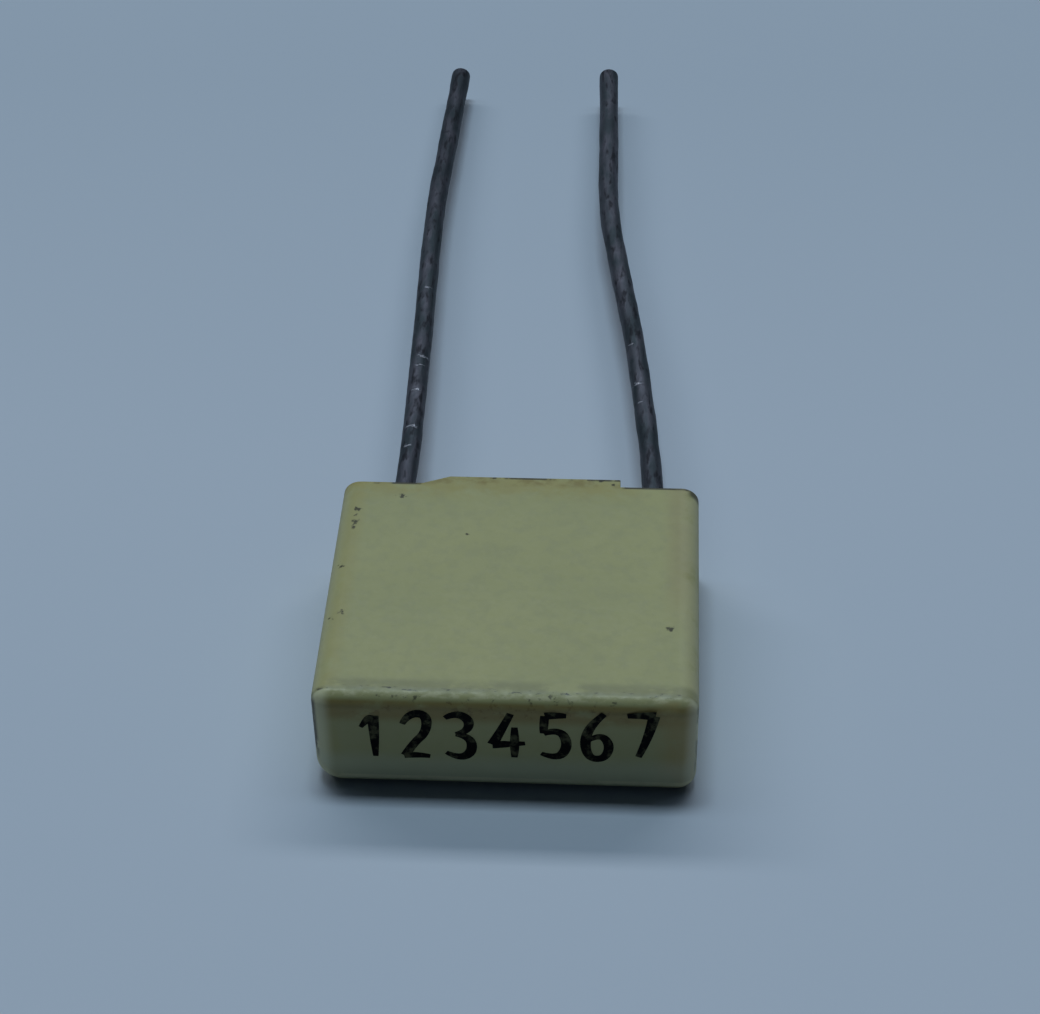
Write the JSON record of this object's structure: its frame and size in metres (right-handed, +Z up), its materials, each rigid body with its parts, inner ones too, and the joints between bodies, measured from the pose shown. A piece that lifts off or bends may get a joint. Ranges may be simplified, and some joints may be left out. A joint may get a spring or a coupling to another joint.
{
  "type": "film capacitor",
  "caption": "Small box film capacitor: a worn cream moulded case filled with resin round a flat film roll, with long dull leads that lean a little.",
  "frame": {"origin": "on the surface that the case lies on, under the middle of the case", "axes": "+X across the leads to the right lead, +Y from the closed end to the open rim and along the leads, +Z up through the case's thickness"},
  "size_m": [0.01, 0.0351, 0.0033],
  "materials": {
    "case": "satin cream polyester moulding, handled and stained",
    "resin": "smooth poured epoxy",
    "metallised_film": "bright metallised plastic film",
    "cover_film": "clear plastic film in several layers",
    "sprayed_metal": "rough sprayed metal",
    "lead": "dull oxidised tin plating, scratched"
  },
  "bodies": {
    "root": {"case": "case", "potting_resin": "resin", "film_left": "metallised_film", "film_right": "metallised_film", "cover_film": "cover_film", "end_contact_left": "sprayed_metal", "end_contact_right": "sprayed_metal", "lead_left": "lead", "lead_right": "lead"}
  },
  "joints": []
}
